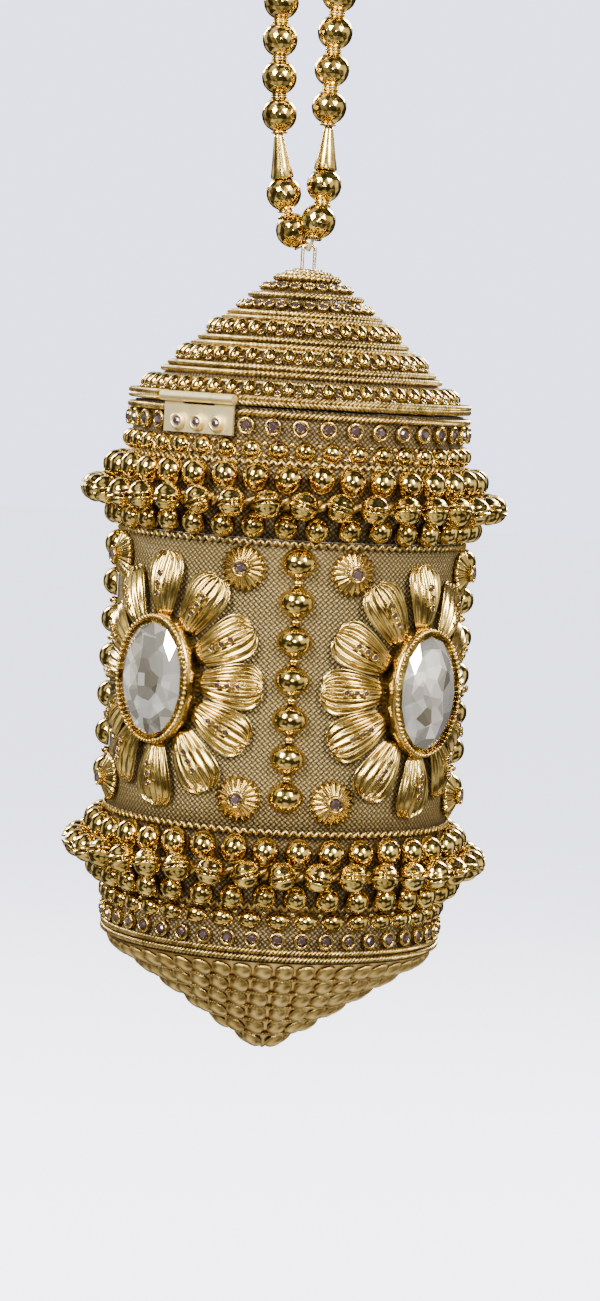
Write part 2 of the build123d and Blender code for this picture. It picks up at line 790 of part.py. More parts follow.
cone_slants = [cone_row_start + row * cone_row_pitch for row in range(cone_rows)]
save(slope_rows(cone_point, cone_slants, cone_bead_length, cone_bead_rise), "cone_bead_strips")
cone_cord_rows = [
    cone_point(slant - cone_row_pitch / 2, cone_cord_radius + fit_gap)
    for slant in cone_slants[1:]
]
save(torus_rows(cone_cord_rows, cone_cord_radius), "cone_cords")

# ---- handle: one string of beads and two cones that passes through the eye ----
string_low = eye_level - wire_diameter / 2 - 0.3 - string_diameter / 2
loop_top = -seam_height + bead_diameter / 2
loop_radius = 8.5
loop_side = loop_top - loop_radius * (1 - tan(radians(22.5)))
loop_corner = loop_radius * tan(radians(22.5))
string_points = [
    (0.0, -0.06, string_low),
    (0.0, -1.25, string_low),
    (1.1, -2.3, string_low + 4.2),
    (2.0, -1.6, apex + 12.2),
    (2.7, 0.0, apex + 21.0),
    (2.5, 0.0, apex + 36.0),
    (3.2, 0.0, apex + 62.0),
    (6.2, 0.0, apex + 85.5),
    (loop_radius, 0.0, loop_side),
    (loop_corner, 0.0, loop_top),
    (-loop_corner, 0.0, loop_top),
    (-loop_radius, 0.0, loop_side),
    (-9.4, 0.0, apex + 85.0),
    (-9.5, 0.0, apex + 60.0),
    (-8.6, 0.0, apex + 34.0),
    (-6.9, 0.0, apex + 18.5),
    (-4.9, 2.2, apex + 9.4),
    (-0.6, 1.35, string_low + 0.2),
    (0.0, 0.06, string_low),
]
route = [Vector(x, y, level(z)) for x, y, z in string_points]
string_radii = []
for before, corner, after in zip(route, route[1:], route[2:]):
    turn = (corner - before).get_angle(after - corner)
    run = min((corner - before).length, (after - corner).length)
    string_radii.append(0.45 * run / tan(radians(turn / 2)))
print("string radii", [round(radius, 1) for radius in string_radii])

with BuildPart() as handle_string:
    with BuildLine() as string_route:
        FilletPolyline(*route, radius=string_radii)
    string_wire = string_route.wire()
    with BuildSketch(Plane(origin=string_wire @ 0, z_dir=string_wire % 0)):
        Circle(string_diameter / 2)
    sweep()
print("string length", round(string_wire.length, 1), "volume", round(handle_string.part.volume, 1),
      "of", round(string_wire.length * pi * string_diameter ** 2 / 4, 1))
save(handle_string.part, "handle_string")

# ---- beads and cones on the string, by their distance along it ----
bead_bore = 1.6
cone_length = 10.1
cone_mouth = 5.2
cone_tip_width = 1.6
cone_bore = 1.2


def string_place(distance):
    """Point and direction on the string at a distance from its start."""
    share = distance / string_wire.length
    return string_wire @ share, string_wire % share


def distance_at(target, start, end):
    """Distance along the string, between two others, at which it reaches a level."""
    low, high = start, end
    rising = string_place(end)[0].Z > string_place(start)[0].Z
    for _ in range(40):
        middle = (low + high) / 2
        if (string_place(middle)[0].Z < level(target)) == rising:
            low = middle
        else:
            high = middle
    return (low + high) / 2


half_string = string_wire.length / 2
right_first = distance_at(apex + 10.35, 2, half_string)
right_second = right_first + bead_diameter + 0.2
right_cone = right_second + bead_diameter / 2 - 0.6
left_first = distance_at(apex + 8.1, half_string, string_wire.length - 2)
left_second = left_first - bead_diameter - 0.6
left_cone = left_second - bead_diameter / 2 + 0.6
run_start = right_cone + cone_length + 3.9
run_end = left_cone - cone_length - 3.9
run_steps = round((run_end - run_start) / 8.35)
run_pitch = (run_end - run_start) / run_steps
bead_distances = [right_first, right_second, left_second, left_first]
bead_distances += [run_start + i * run_pitch for i in range(run_steps + 1)]
print("handle beads", len(bead_distances), "pitch", round(run_pitch, 2))

with BuildPart() as bead_shape:
    Sphere(bead_diameter / 2)
    Cylinder(bead_bore / 2, bead_diameter, mode=Mode.SUBTRACT)
with BuildPart() as cone_shape:
    with BuildSketch(Plane.XZ):
        with BuildLine():
            Polyline(
                (cone_mouth / 2, 0),
                (cone_tip_width / 2, cone_length),
                (cone_bore / 2, cone_length),
                (cone_bore / 2, 1.6),
                (cone_mouth / 2 - 0.3, 0),
                close=True,
            )
        make_face()
    revolve(axis=Axis.Z)

string_planes = []
for distance in bead_distances:
    point, along = string_place(distance)
    string_planes.append(Plane(origin=point, z_dir=along))
save(scatter(bead_shape.part, string_planes), "handle_beads")
right_point, right_along = string_place(right_cone)
left_point, left_along = string_place(left_cone)
cone_planes = [
    Plane(origin=right_point, z_dir=right_along), Plane(origin=left_point, z_dir=-left_along)
]
save(scatter(cone_shape.part, cone_planes), "handle_cones")
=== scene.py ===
# %% [markdown]
# A lantern-shaped evening purse hangs from its loop of gold beads. The card lid, card body, hinge
# and magnets come ready made from the frame. This lesson makes what a purse maker sews and glues
# on them: cords, beads, bells, stamped flowers, stones, cloth and lining.

# %% Load the frame
import math
import random

import bmesh
import bpy
from mathutils import Matrix, Vector


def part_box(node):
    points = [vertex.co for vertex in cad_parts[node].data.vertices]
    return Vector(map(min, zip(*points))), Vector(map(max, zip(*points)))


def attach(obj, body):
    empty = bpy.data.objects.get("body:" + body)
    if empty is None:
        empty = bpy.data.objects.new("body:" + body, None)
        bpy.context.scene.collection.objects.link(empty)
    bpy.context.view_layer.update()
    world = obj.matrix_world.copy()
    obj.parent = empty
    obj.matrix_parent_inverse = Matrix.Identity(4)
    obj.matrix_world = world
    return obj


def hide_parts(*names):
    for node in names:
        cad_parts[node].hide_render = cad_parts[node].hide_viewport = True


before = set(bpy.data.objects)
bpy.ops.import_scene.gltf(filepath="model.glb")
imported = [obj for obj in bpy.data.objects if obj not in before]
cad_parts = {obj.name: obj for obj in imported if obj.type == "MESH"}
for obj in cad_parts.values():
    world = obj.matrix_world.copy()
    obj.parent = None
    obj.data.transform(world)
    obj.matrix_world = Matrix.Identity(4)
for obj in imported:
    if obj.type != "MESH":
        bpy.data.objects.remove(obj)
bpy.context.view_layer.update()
print("frame nodes:", len(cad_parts))
TAU = math.tau


def low(node):
    return Vector(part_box(node)[0])


def high(node):
    return Vector(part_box(node)[1])


def reach(node):
    """How far a round node reaches from the purse's axis."""
    return high(node).x


def middle(node):
    return (low(node).z + high(node).z) / 2


# %% [markdown]
# The camera stands a little above the purse and turned slightly to its left, so the front column
# of beads sits just right of the middle. It is tilted, because the purse hangs askew in the hand.

# %% Camera
def outward(turn):
    """Direction away from the purse's axis. A turn of 0 faces the front, at -Y."""
    return Vector((math.sin(turn), -math.cos(turn), 0))


def sideways(turn):
    return Vector((math.cos(turn), math.sin(turn), 0))


UP = Vector((0, 0, 1))
seam = (low("lid_base_ring").z + high("body_tube").z) / 2
view_turn = math.radians(-3.0)
view_drop = math.radians(4.6)
view_lean = math.radians(3.4)
back = outward(view_turn) * math.cos(view_drop) + UP * math.sin(view_drop)
level_right = sideways(view_turn)
level_up = back.cross(level_right)
right = level_right * math.cos(view_lean) + level_up * math.sin(view_lean)
upright = level_up * math.cos(view_lean) - level_right * math.sin(view_lean)
aim_drop = 0.0549
aim_side = 0.0033
aim = Vector((0, 0, seam - aim_drop)) + right * aim_side
place = Matrix((right, upright, back)).transposed().to_4x4()
camera_distance = 0.855
place.translation = aim + back * camera_distance
camera_data = bpy.data.cameras.new("camera")
camera_data.lens = 105.15
camera_data.sensor_width = 36.0
camera = bpy.data.objects.new("camera", camera_data)
camera.matrix_world = place
bpy.context.scene.collection.objects.link(camera)
bpy.context.scene.camera = camera
print("camera at", tuple(round(x, 3) for x in place.translation))

# %% [markdown]
# Patterns are easier to read as sums than as nodes. One small class wraps a socket, so that an
# expression on values adds its Math nodes, and one method makes every other node.


# %% Shader helper
class Wire:
    """A value socket that can be added, multiplied and compared."""

    def __init__(self, tree, socket):
        self.tree = tree
        self.socket = socket

    def node(self, kind, settings=(), inputs=(), output=0):
        made = self.tree.nodes.new(kind)
        for key, value in settings:
            setattr(made, key, value)
        for key, value in inputs:
            if isinstance(value, Wire):
                self.tree.links.new(value.socket, made.inputs[key])
            else:
                made.inputs[key].default_value = value
        return Wire(self.tree, made.outputs[output])

    def maths(self, operation, other=0.0):
        return self.node("ShaderNodeMath", [("operation", operation)], [(0, self), (1, other)])

    def __add__(self, other):
        return self.maths("ADD", other)

    def __sub__(self, other):
        return self.maths("SUBTRACT", other)

    def __mul__(self, other):
        return self.maths("MULTIPLY", other)

    def __rsub__(self, other):
        return (self * -1.0) + other

    __radd__ = __add__
    __rmul__ = __mul__

    def mix(self, first, second):
        """A colour between two others, by this value."""
        settings = [("data_type", "RGBA")]
        return self.node("ShaderNodeMix", settings, [(0, self), (6, first), (7, second)], 2)


def new_material(name, **constants):
    """A Principled material and the wire that starts its patterns."""
    material = bpy.data.materials.new(name)
    material.use_nodes = True
    tree = material.node_tree
    shader = next(n for n in tree.nodes if n.type == "BSDF_PRINCIPLED")
    for key, value in constants.items():
        shader.inputs[key.replace("_", " ")].default_value = value
    start = Wire(tree, None)
    where = start.node("ShaderNodeTexCoord", output="Object")
    return material, shader, where


def join(shader, socket, wire):
    wire.tree.links.new(wire.socket, shader.inputs[socket])


def bump(height, depth, strength=0.6):
    """A normal from a height."""
    inputs = [("Height", height), ("Distance", depth), ("Strength", strength)]
    return height.node("ShaderNodeBump", (), inputs)


# %% [markdown]
# Antique gold plate is not one colour. It is pale where it is rubbed and amber where it is not,
# with a fine unevenness that breaks its reflections. Noise in the object's own coordinates gives
# both, at two sizes.


# %% Gold finishes
def gold(name, dark, bright, roughness, dimple=0.00004, patch=260.0):
    material, shader, where = new_material(name, Metallic=1.0)
    patches = where.node("ShaderNodeTexNoise", (), [("Vector", where), ("Scale", patch),
                                                    ("Detail", 3.0)])
    fine = where.node("ShaderNodeTexNoise", (), [("Vector", where), ("Scale", patch * 6),
                                                 ("Detail", 2.0)])
    tone = patches.node("ShaderNodeMapRange", (), [("Value", patches), ("From Min", 0.35),
                                                   ("From Max", 0.65)])
    join(shader, "Base Color", tone.mix((*dark, 1), (*bright, 1)))
    join(shader, "Roughness", fine * 0.14 + (roughness - 0.07))
    join(shader, "Normal", bump(fine, dimple))
    return material


bead_gold = gold("bead_gold", (0.40, 0.265, 0.06), (0.80, 0.58, 0.165), 0.13)
plate_gold = gold("plate_gold", (0.38, 0.25, 0.06), (0.78, 0.57, 0.175), 0.22, 0.00003)
hinge_brass = gold("hinge_brass", (0.96, 0.76, 0.36), (1.0, 0.86, 0.48), 0.45, 0.00001)
cord_gold = gold("cord_gold", (0.26, 0.17, 0.045), (0.64, 0.46, 0.155), 0.3, 0.00006, 500)
satin_gold = gold("satin_gold", (0.46, 0.305, 0.085), (0.74, 0.53, 0.18), 0.36, 0.00006, 400)
wire_brass = gold("wire_brass", (0.6, 0.45, 0.25), (0.85, 0.72, 0.5), 0.25)
steel = gold("magnet_steel", (0.55, 0.55, 0.57), (0.72, 0.72, 0.74), 0.3)
print("metals:", len(bpy.data.materials))

# %% [markdown]
# The cloth is woven from flat metal thread, over and under at a slant. Round the purse the
# pattern needs an angle and a height, so Arctangent turns x and y into a length round the tube.


# %% Metal cloth
def around(where, radius, size):
    """Pattern coordinates round the tube and up it, in pattern steps."""
    parts = [where.node("ShaderNodeSeparateXYZ", (), [(0, where)], i) for i in range(3)]
    turn = parts[1].maths("ARCTAN2", parts[0])
    steps = round(TAU * radius / size)
    return turn * (steps / TAU), parts[2] * (1 / size)


def weave(name, gap, thread, size, radius, metal):
    material, shader, where = new_material(name, Metallic=metal)
    across, along = around(where, radius, size)
    first = across + along
    second = across - along
    parity = (first.maths("FLOOR") + second.maths("FLOOR")).maths("MULTIPLY", 0.5)
    over = parity.maths("FRACT").maths("GREATER_THAN", 0.25)
    ridge_one = (first.maths("FRACT") * math.pi).maths("SINE")
    ridge_two = (second.maths("FRACT") * math.pi).maths("SINE")
    height = over * ridge_one + (1 - over) * ridge_two
    rounded = height * (ridge_one * ridge_two * 0.5 + 0.5)
    join(shader, "Base Color", rounded.mix((*gap, 1), (*thread, 1)))
    join(shader, "Roughness", 0.62 - rounded * 0.22)
    join(shader, "Normal", bump(rounded, 0.0003, 1.0))
    return material


panel_weave = weave("panel_weave", (0.03, 0.02, 0.006), (0.31, 0.22, 0.08), 0.0012, 0.038, 0.5)
collar_weave = weave("collar_weave", (0.015, 0.01, 0.003), (0.22, 0.15, 0.055), 0.0012, 0.037, 0.5)
print("cloths:", panel_weave.name, collar_weave.name)

# %% [markdown]
# The lining is satin with soft folds, and the card, thread and wadding are duller. All four are a
# drift of two colours with a fine grain, so one function makes them.


# %% Satin, card, thread and wadding
def satin(name, dark, bright, fold):
    material, shader, where = new_material(name, Roughness=0.45, Sheen_Weight=0.3)
    drift = where.node("ShaderNodeTexNoise", (), [("Vector", where), ("Scale", fold)])
    grain = where.node("ShaderNodeTexNoise", (), [("Vector", where), ("Scale", 2500.0)])
    join(shader, "Base Color", drift.mix((*dark, 1), (*bright, 1)))
    join(shader, "Normal", bump(drift + grain * 0.05, 0.0006))
    return material


lining_satin = satin("lining_satin", (0.34, 0.22, 0.10), (0.62, 0.45, 0.24), 90.0)
card = satin("card", (0.30, 0.22, 0.13), (0.42, 0.32, 0.2), 300.0)
thread = satin("thread", (0.30, 0.22, 0.1), (0.55, 0.42, 0.22), 900.0)
wadding = satin("wadding", (0.7, 0.67, 0.58), (0.82, 0.8, 0.72), 200.0)
print("soft and dull:", lining_satin.name, card.name, thread.name, wadding.name)

# %% [markdown]
# The small smoky stones are backed with metal, so they are mostly mirror. The large crystals are
# backed too, and flash pale and dark from cut to cut. Clear glass over a foil gave only streaks
# at this size, so the crystal is a faceted mirror whose flashes are painted: a cell pattern paints
# pale highlights and dark reflections into its colour.


# %% Stones
def glass(name, tint, haze, solid):
    material, shader, where = new_material(name, Base_Color=(*tint, 1), IOR=1.56,
                                           Transmission_Weight=1.0 - solid, Metallic=solid)
    cloud = where.node("ShaderNodeTexNoise", (), [("Vector", where), ("Scale", 300.0)])
    join(shader, "Roughness", cloud * 0.02 + haze)
    return material


crystal_glass, cut_shader, cut_where = new_material("crystal_glass", Metallic=0.7, Roughness=0.04,
                                                    Coat_Weight=1.0, IOR=1.6)
# Painted reflection: cells of near-white and dark olive in the base colour stand in for the
# crystal's flashes.
painted_flash_cells = cut_where.node("ShaderNodeTexVoronoi", (), [("Vector", cut_where), ("Scale", 250.0)], 1)
painted_flash = painted_flash_cells.node("ShaderNodeSeparateColor", (), [(0, painted_flash_cells)])
join(cut_shader, "Base Color", painted_flash.mix((0.17, 0.14, 0.085, 1), (0.98, 0.97, 0.93, 1)))
foil = gold("crystal_foil", (0.40, 0.34, 0.22), (0.97, 0.93, 0.84), 0.04, 0.00001)
smoky = glass("smoky_stone", (0.16, 0.115, 0.13), 0.03, 0.7)
print("materials:", len(bpy.data.materials))

# %% [markdown]
# Most pieces are one small shape, set many times round the purse. A shape is made once as a mesh,
# and each copy is put straight into one piece, so the finished object stays at the origin.


# %% Piece helpers
def finish_shape(shape, smooth=True):
    """Close a bmesh as a mesh with outward faces."""
    bmesh.ops.recalc_face_normals(shape, faces=shape.faces)
    for face in shape.faces:
        face.smooth = smooth
    mesh = bpy.data.meshes.new("shape")
    shape.to_mesh(mesh)
    shape.free()
    return mesh


def piece(name, groups, body, nodes=()):
    """One object from groups of (mesh, places, material), riding on a body."""
    whole = bmesh.new()
    mesh = bpy.data.meshes.new(name)
    for number, (shape, places, material) in enumerate(groups):
        mesh.materials.append(material)
        shape.polygons.foreach_set("material_index", [number] * len(shape.polygons))
        for spot in places:
            placed = shape.copy()
            placed.transform(spot)
            whole.from_mesh(placed)
            bpy.data.meshes.remove(placed)
    whole.to_mesh(mesh)
    whole.free()
    made = bpy.data.objects.new(name, mesh)
    bpy.context.scene.collection.objects.link(made)
    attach(made, body)
    if nodes:
        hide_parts(*nodes)
    print(name, "faces", len(mesh.polygons))
    return made


def on_skin(radius, turn, z, lean=0.0, spin=0.0):
    """Matrix of a place on the skin: x round it, y up it, z out of it."""
    out = outward(turn) * math.cos(lean) + UP * math.sin(lean)
    side = sideways(turn)
    grid = Matrix((side, out.cross(side), out)).transposed().to_4x4()
    grid.translation = outward(turn) * radius + UP * z
    return grid @ Matrix.Rotation(spin, 4, "Z")


def ring(radius, z, count, lean=0.0, start=0.0):
    return [on_skin(radius, start + TAU * i / count, z, lean) for i in range(count)]


def ball(width, length, height, segments=12, rings=8):
    """An oval bead: x width, y length, z height."""
    shape = bmesh.new()
    bmesh.ops.create_uvsphere(shape, u_segments=segments, v_segments=rings, radius=0.5)
    bmesh.ops.scale(shape, vec=(width, length, height), verts=shape.verts)
    return finish_shape(shape)


def dome(width, length, height, segments=14, rings=10):
    """An oval bead cut flat where it lies on the cloth."""
    shape = bmesh.new()
    bmesh.ops.create_uvsphere(shape, u_segments=segments, v_segments=rings, radius=0.5)
    bmesh.ops.scale(shape, vec=(width, length, height * 2), verts=shape.verts)
    everything = shape.verts[:] + shape.edges[:] + shape.faces[:]
    cut = bmesh.ops.bisect_plane(shape, geom=everything, plane_co=(0, 0, 0), plane_no=(0, 0, 1),
                                 clear_inner=True)
    edges = [e for e in cut["geom_cut"] if isinstance(e, bmesh.types.BMEdge)]
    bmesh.ops.edgeloop_fill(shape, edges=edges)
    return finish_shape(shape)


def spun(profile, segments=24):
    """A round solid from an outline of (radius, height) points, spun round z."""
    shape = bmesh.new()
    points = [shape.verts.new((r, 0, z)) for r, z in profile]
    edges = [shape.edges.new(pair) for pair in zip(points, points[1:])]
    bmesh.ops.spin(shape, geom=points + edges, cent=(0, 0, 0), axis=(0, 0, 1), angle=TAU,
                   steps=segments, use_merge=True)
    bmesh.ops.remove_doubles(shape, verts=shape.verts, dist=1e-7)
    return finish_shape(shape)


def half_round(radius, steps):
    """Outline of a ball from its top to its foot."""
    turns = [math.pi * i / steps for i in range(steps + 1)]
    return [(radius * math.sin(t), radius * math.cos(t)) for t in turns]


# %% [markdown]
# The handle is one thread. It goes under the eye of wire at the lid's tip, up through one strand
# of beads, over the top of the loop and down the other. The spline is the thread's own line.

# %% The thread
seam_mm = seam * 1000
apex = seam_mm + 31.0
thread_low = apex + 3.9
loop_top = 4.0
loop_radius = 8.5
loop_corner = loop_radius * math.tan(math.radians(22.5))
loop_side = loop_top - loop_radius + loop_corner
thread_points = [
    (0.0, -0.06, thread_low),
    (0.0, -1.25, thread_low),
    (1.1, -2.3, thread_low + 4.2),
    (2.0, -1.6, apex + 12.2),
    (2.7, 0.0, apex + 21.0),
    (2.5, 0.0, apex + 36.0),
    (3.2, 0.0, apex + 62.0),
    (6.2, 0.0, apex + 85.5),
    (loop_radius, 0.0, loop_side),
    (loop_corner, 0.0, loop_top),
    (-loop_corner, 0.0, loop_top),
    (-loop_radius, 0.0, loop_side),
    (-9.4, 0.0, apex + 85.0),
    (-9.5, 0.0, apex + 60.0),
    (-8.6, 0.0, apex + 34.0),
    (-6.9, 0.0, apex + 18.5),
    (-4.9, 2.2, apex + 9.4),
    (-0.6, 1.35, thread_low + 0.2),
    (0.0, 0.06, thread_low),
]
thread_width = 0.0008
thread_curve = bpy.data.curves.new("handle_thread", "CURVE")
thread_curve.dimensions = "3D"
line = thread_curve.splines.new("NURBS")
line.points.add(len(thread_points) - 1)
for point, spot in zip(line.points, thread_points):
    point.co = (*[value / 1000 for value in spot], 1.0)
line.order_u = 3
line.use_endpoint_u = True
line.resolution_u = 16
handle_thread = bpy.data.objects.new("handle_thread", thread_curve)
bpy.context.scene.collection.objects.link(handle_thread)
bpy.context.view_layer.update()
bare_line = bpy.data.meshes.new_from_object(handle_thread)
trail = [vertex.co.copy() for vertex in bare_line.vertices]
steps = [(b - a).length for a, b in zip(trail, trail[1:])]
thread_length = sum(steps)
thread_curve.bevel_depth = thread_width / 2
thread_curve.bevel_resolution = 3
thread_curve.materials.append(thread)
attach(handle_thread, "handle")
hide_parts("handle_string")
print("thread length", round(thread_length, 4))


def on_thread(distance):
    """Matrix of a place on the thread, with z along it."""
    for start, end, step in zip(trail, trail[1:], steps):
        if distance <= step:
            break
        distance -= step
    along = (end - start).normalized()
    grid = along.to_track_quat("Z", "Y").to_matrix().to_4x4()
    grid.translation = start + along * min(distance, step)
    return grid


def distance_to(target, begin, finish):
    """Distance along the thread at which it passes a height, between two distances."""
    rising = on_thread(finish).translation.z > on_thread(begin).translation.z
    for _ in range(40):
        half = (begin + finish) / 2
        if (on_thread(half).translation.z < target) == rising:
            begin = half
        else:
            finish = half
    return half


# %% [markdown]
# The handle's beads are cut gold beads: many small flat faces under a bright plate. They are
# placed first, by their distance along the thread, so that they stay on its line.

# %% Places on the thread
bead_size = 0.008
apex_m = apex / 1000
half_way = thread_length / 2
right_first = distance_to(apex_m + 0.01035, 0.002, half_way)
right_second = right_first + bead_size + 0.0002
right_cone = right_second + bead_size / 2 - 0.0006
left_first = distance_to(apex_m + 0.0081, half_way, thread_length - 0.002)
left_second = left_first - bead_size - 0.0006
left_cone = left_second - bead_size / 2 + 0.0006
cone_length = 0.0101
tip_to_bead = 0.0039
wanted_pitch = 0.00835
run_start = right_cone + cone_length + tip_to_bead
run_end = left_cone - cone_length - tip_to_bead
run_steps = round((run_end - run_start) / wanted_pitch)
run_pitch = (run_end - run_start) / run_steps
bead_spots = [right_first, right_second, left_second, left_first]
bead_spots += [run_start + i * run_pitch for i in range(run_steps + 1)]
print("handle beads:", len(bead_spots))

# %% [markdown]
# A bead could be a smooth ball, but the real ones flash from many small cuts. Flat shading on a
# ball of triangles gives the cuts, and a narrow bevel softens their edges. A thin washer sits at
# each end of the bore.

# %% Cut beads
cut_bead = bmesh.new()
bmesh.ops.create_icosphere(cut_bead, subdivisions=3, radius=bead_size / 2 * 0.985)
bmesh.ops.bevel(cut_bead, geom=cut_bead.edges[:], affect="EDGES", offset=0.00007, segments=1,
                profile=0.5, material=-1)
cut_mesh = finish_shape(cut_bead, smooth=False)
collar_mesh = spun([(0.0010, 0.0001), (0.0017, 0.0003), (0.0019, 0.0), (0.0017, -0.0003),
                    (0.0010, -0.0001)], 14)
bead_places = [on_thread(distance) for distance in bead_spots]
collar_places = []
for grid in bead_places:
    for side in (-1, 1):
        collar_places.append(grid @ Matrix.Translation((0, 0, side * bead_size * 0.485)))
beads = piece("handle_beads_cut", [(cut_mesh, bead_places, bead_gold),
                                   (collar_mesh, collar_places, plate_gold)],
              "handle", ["handle_beads"])

# %% [markdown]
# A cone cap hides where the close beads end. It is a thin tapered shell, so its outline goes up
# the outside and back down the bore, and is spun.

# %% Cones and the cord's facts
cone_mesh = spun([(0.0006, cone_length), (0.0009, cone_length), (0.0011, 0.0090),
                  (0.0016, 0.0060), (0.0022, 0.0025), (0.0026, 0.0004), (0.0025, 0.0),
                  (0.0022, 0.0001), (0.0007, 0.0016), (0.0006, cone_length)], 28)
flip = Matrix.Rotation(math.pi, 4, "X")
cone_places = [on_thread(right_cone), on_thread(left_cone) @ flip]
cones = piece("handle_cone_caps", [(cone_mesh, cone_places, plate_gold)], "handle",
              ["handle_cones"])

# %% [markdown]
# A twisted cord is a row of short slanted bulges. Each bulge is one small ball, leaned over, and a
# ring of them reads as two plies laid together. The same shape makes every cord on the purse.


# %% Twisted cords
def twist_ring(radius, z, thick, lean=0.0, gap=0.0, centre=0.0, slant=-0.9):
    """Places of the bulges of one cord round the purse, with an opening if gap is given."""
    pitch = thick * 0.74
    span = TAU - 2 * gap
    count = max(8, round(span * radius / pitch))
    begin = centre + gap
    divisor = count if gap == 0 else count - 1
    return [on_skin(radius, begin + span * i / divisor, z, lean, slant) for i in range(count)]


def twist(thick):
    return ball(thick * 0.6, thick * 1.6, thick * 0.95, 8, 6)


hinge_turn = math.radians(-38)
slope = math.radians(43.2)
foot_radius = 0.0369
foot_z = low("lid_shell").z


def lid_place(slant, proud):
    """Radius and height at a distance up the lid's slope."""
    radius = foot_radius - slant * math.cos(slope) + proud * math.sin(slope)
    return radius, foot_z + slant * math.sin(slope) + proud * math.cos(slope)


lid_lean = math.pi / 2 - slope
cord_slants = [0.009, 0.011, 0.0178, 0.0198, 0.0267, 0.0284, 0.0344]
lid_cord_places = []
for slant in cord_slants:
    radius, z = lid_place(slant, 0.0008)
    lid_cord_places += twist_ring(radius, z, 0.0014, lid_lean)
piece("lid_twisted_cords", [(twist(0.0014), lid_cord_places, cord_gold)], "lid",
      ["lid_ropes"])

hinge_gap = math.radians(15.8)
rim_z = middle("lid_rim_rope")
rim_radius = reach("lid_rim_rope") - 0.0011
rim_places = twist_ring(rim_radius, rim_z + 0.00045, 0.0013, 0.2, hinge_gap, hinge_turn)
rim_places += twist_ring(rim_radius, rim_z - 0.00055, 0.0013, 0.0, hinge_gap, hinge_turn, 0.9)
piece("lid_rim_braid", [(twist(0.0013), rim_places, cord_gold)], "lid",
      ["lid_rim_rope"])

cap_top = high("lid_cap_coil").z
coil_places = []
for i, (radius, drop) in enumerate([(0.00292, 0.0009), (0.00486, 0.00145), (0.0068, 0.0023)]):
    coil_places += twist_ring(radius, cap_top - drop, 0.0017, 1.2 - 0.12 * i)
piece("lid_coiled_tip", [(twist(0.0017), coil_places, cord_gold)], "lid",
      ["lid_cap_coil"])

edge_z = middle("body_edge_cord")
edge_radius = reach("body_edge_cord") - 0.00075
edge_places = twist_ring(edge_radius, edge_z, 0.0014, 0, hinge_gap, hinge_turn)
piece("body_edge_twist", [(twist(0.0014), edge_places, cord_gold)], "body",
      ["body_edge_cord"])

lower_cord_places = []
lower_radius = reach("lower_cords") - 0.00065
for z in (high("lower_cords").z - 0.00065, low("lower_cords").z + 0.00065):
    lower_cord_places += twist_ring(lower_radius, z, 0.00125)
piece("lower_twisted_cords", [(twist(0.00125), lower_cord_places, cord_gold)], "body",
      ["lower_cords"])

# %% [markdown]
# A ringed stone is a cup with a rolled rim and a cut stone in it. The stone is the convex hull of
# a few circles of points, which leaves flat facets between them, as a cutter would.


# %% Ringed stones
def gem(width, height):
    """A low faceted stone on its own plane."""
    shape = bmesh.new()
    for share, z in ((1.0, 0.0), (1.0, height * 0.25), (0.55, height)):
        bmesh.ops.create_circle(shape, cap_ends=False, segments=8, radius=width / 2 * share,
                                matrix=Matrix.Translation((0, 0, z)))
    bmesh.ops.convex_hull(shape, input=shape.verts)
    bmesh.ops.delete(shape, geom=[v for v in shape.verts if not v.link_faces], context="VERTS")
    return finish_shape(shape, smooth=False)


def cup(width, stone, height):
    """A collet with a rolled rim round a stone."""
    rim = (width - stone) / 2
    return spun([(width * 0.36, 0.0), (width * 0.5, 0.0002), (width * 0.47, height * 0.6),
                 (width * 0.49, height), (stone / 2 + rim * 0.45, height * 1.2),
                 (stone / 2, height * 0.95), (stone / 2, height * 0.5), (0, height * 0.45)], 14)


def ringed(places, width, stone, height, metal=plate_gold):
    """Groups for a row of ringed stones: cups, and stones that stand in them."""
    lifted = [grid @ Matrix.Translation((0, 0, height * 0.55)) for grid in places]
    return [(cup(width, stone, height), places, metal),
            (gem(stone * 0.98, height * 0.8), lifted, smoky)]


chain_z = middle("collar_cup_chain")
skin_radius = 0.03705
chain_places = [on_skin(skin_radius, hinge_turn + math.radians(9 * i), chain_z)
                for i in range(2, 39)]
piece("collar_ringed_stones", ringed(chain_places, 0.0040, 0.0025, 0.0013), "body",
      ["collar_cup_chain"])
lower_chain = ring(skin_radius, middle("lower_cup_chain"), 44)
piece("lower_ringed_stones", ringed(lower_chain, 0.0037, 0.0023, 0.0013), "body",
      ["lower_cup_chain"])

stud_radius = 0.0377
stud_z = middle("hinge_stud_cups")
stud_places = []
for across in (-0.0052, 0.0, 0.0052):
    grid = on_skin(stud_radius, hinge_turn, stud_z)
    stud_places.append(grid @ Matrix.Translation((across, 0, 0)))
piece("hinge_ringed_studs", ringed(stud_places, 0.0036, 0.0021, 0.0010, hinge_brass), "body",
      ["hinge_stud_cups", "hinge_stud_stones"])

radius, z = lid_place(0.0314, 0.0001)
slope_places = ring(radius, z, 30, lid_lean)
piece("lid_ringed_stones", ringed(slope_places, 0.0027, 0.0015, 0.0010), "lid",
      ["lid_cup_chain"])
crown_places = ring(0.0091, middle("crown_cup_chain") - 0.0006, 20, 0.96)
piece("crown_ringed_stones", ringed(crown_places, 0.0027, 0.0015, 0.0010), "lid",
      ["crown_cup_chain"])

# %% [markdown]
# The lid carries three strips of oval beads that point up its slope, with a small ringed stone
# between the feet of each pair and a fine cord along the upper edge.

